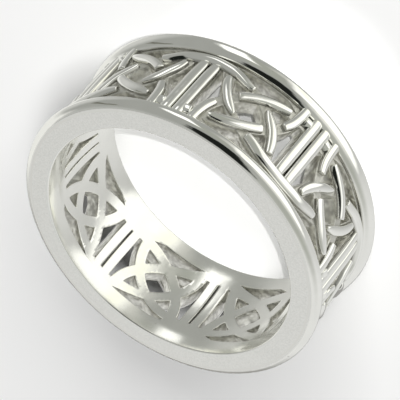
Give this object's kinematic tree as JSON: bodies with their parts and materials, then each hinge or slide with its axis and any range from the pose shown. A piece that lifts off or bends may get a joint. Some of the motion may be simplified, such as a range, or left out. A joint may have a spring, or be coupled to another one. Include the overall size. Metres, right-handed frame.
{
  "type": "celtic knot ring",
  "caption": "Silver finger ring: a pierced band of woven Celtic knots and upright bars between two plain rounded rails.",
  "frame": {"origin": "centre of the lower flat face, on the ring's own axis", "axes": "+Z along the ring's axis, from the face it lies on to the other face; +X and +Y each run through the middle of a knot"},
  "size_m": [0.023, 0.023, 0.0086],
  "materials": {
    "silver": "polished"
  },
  "bodies": {
    "root": {"knot_ring": "silver"}
  },
  "joints": []
}
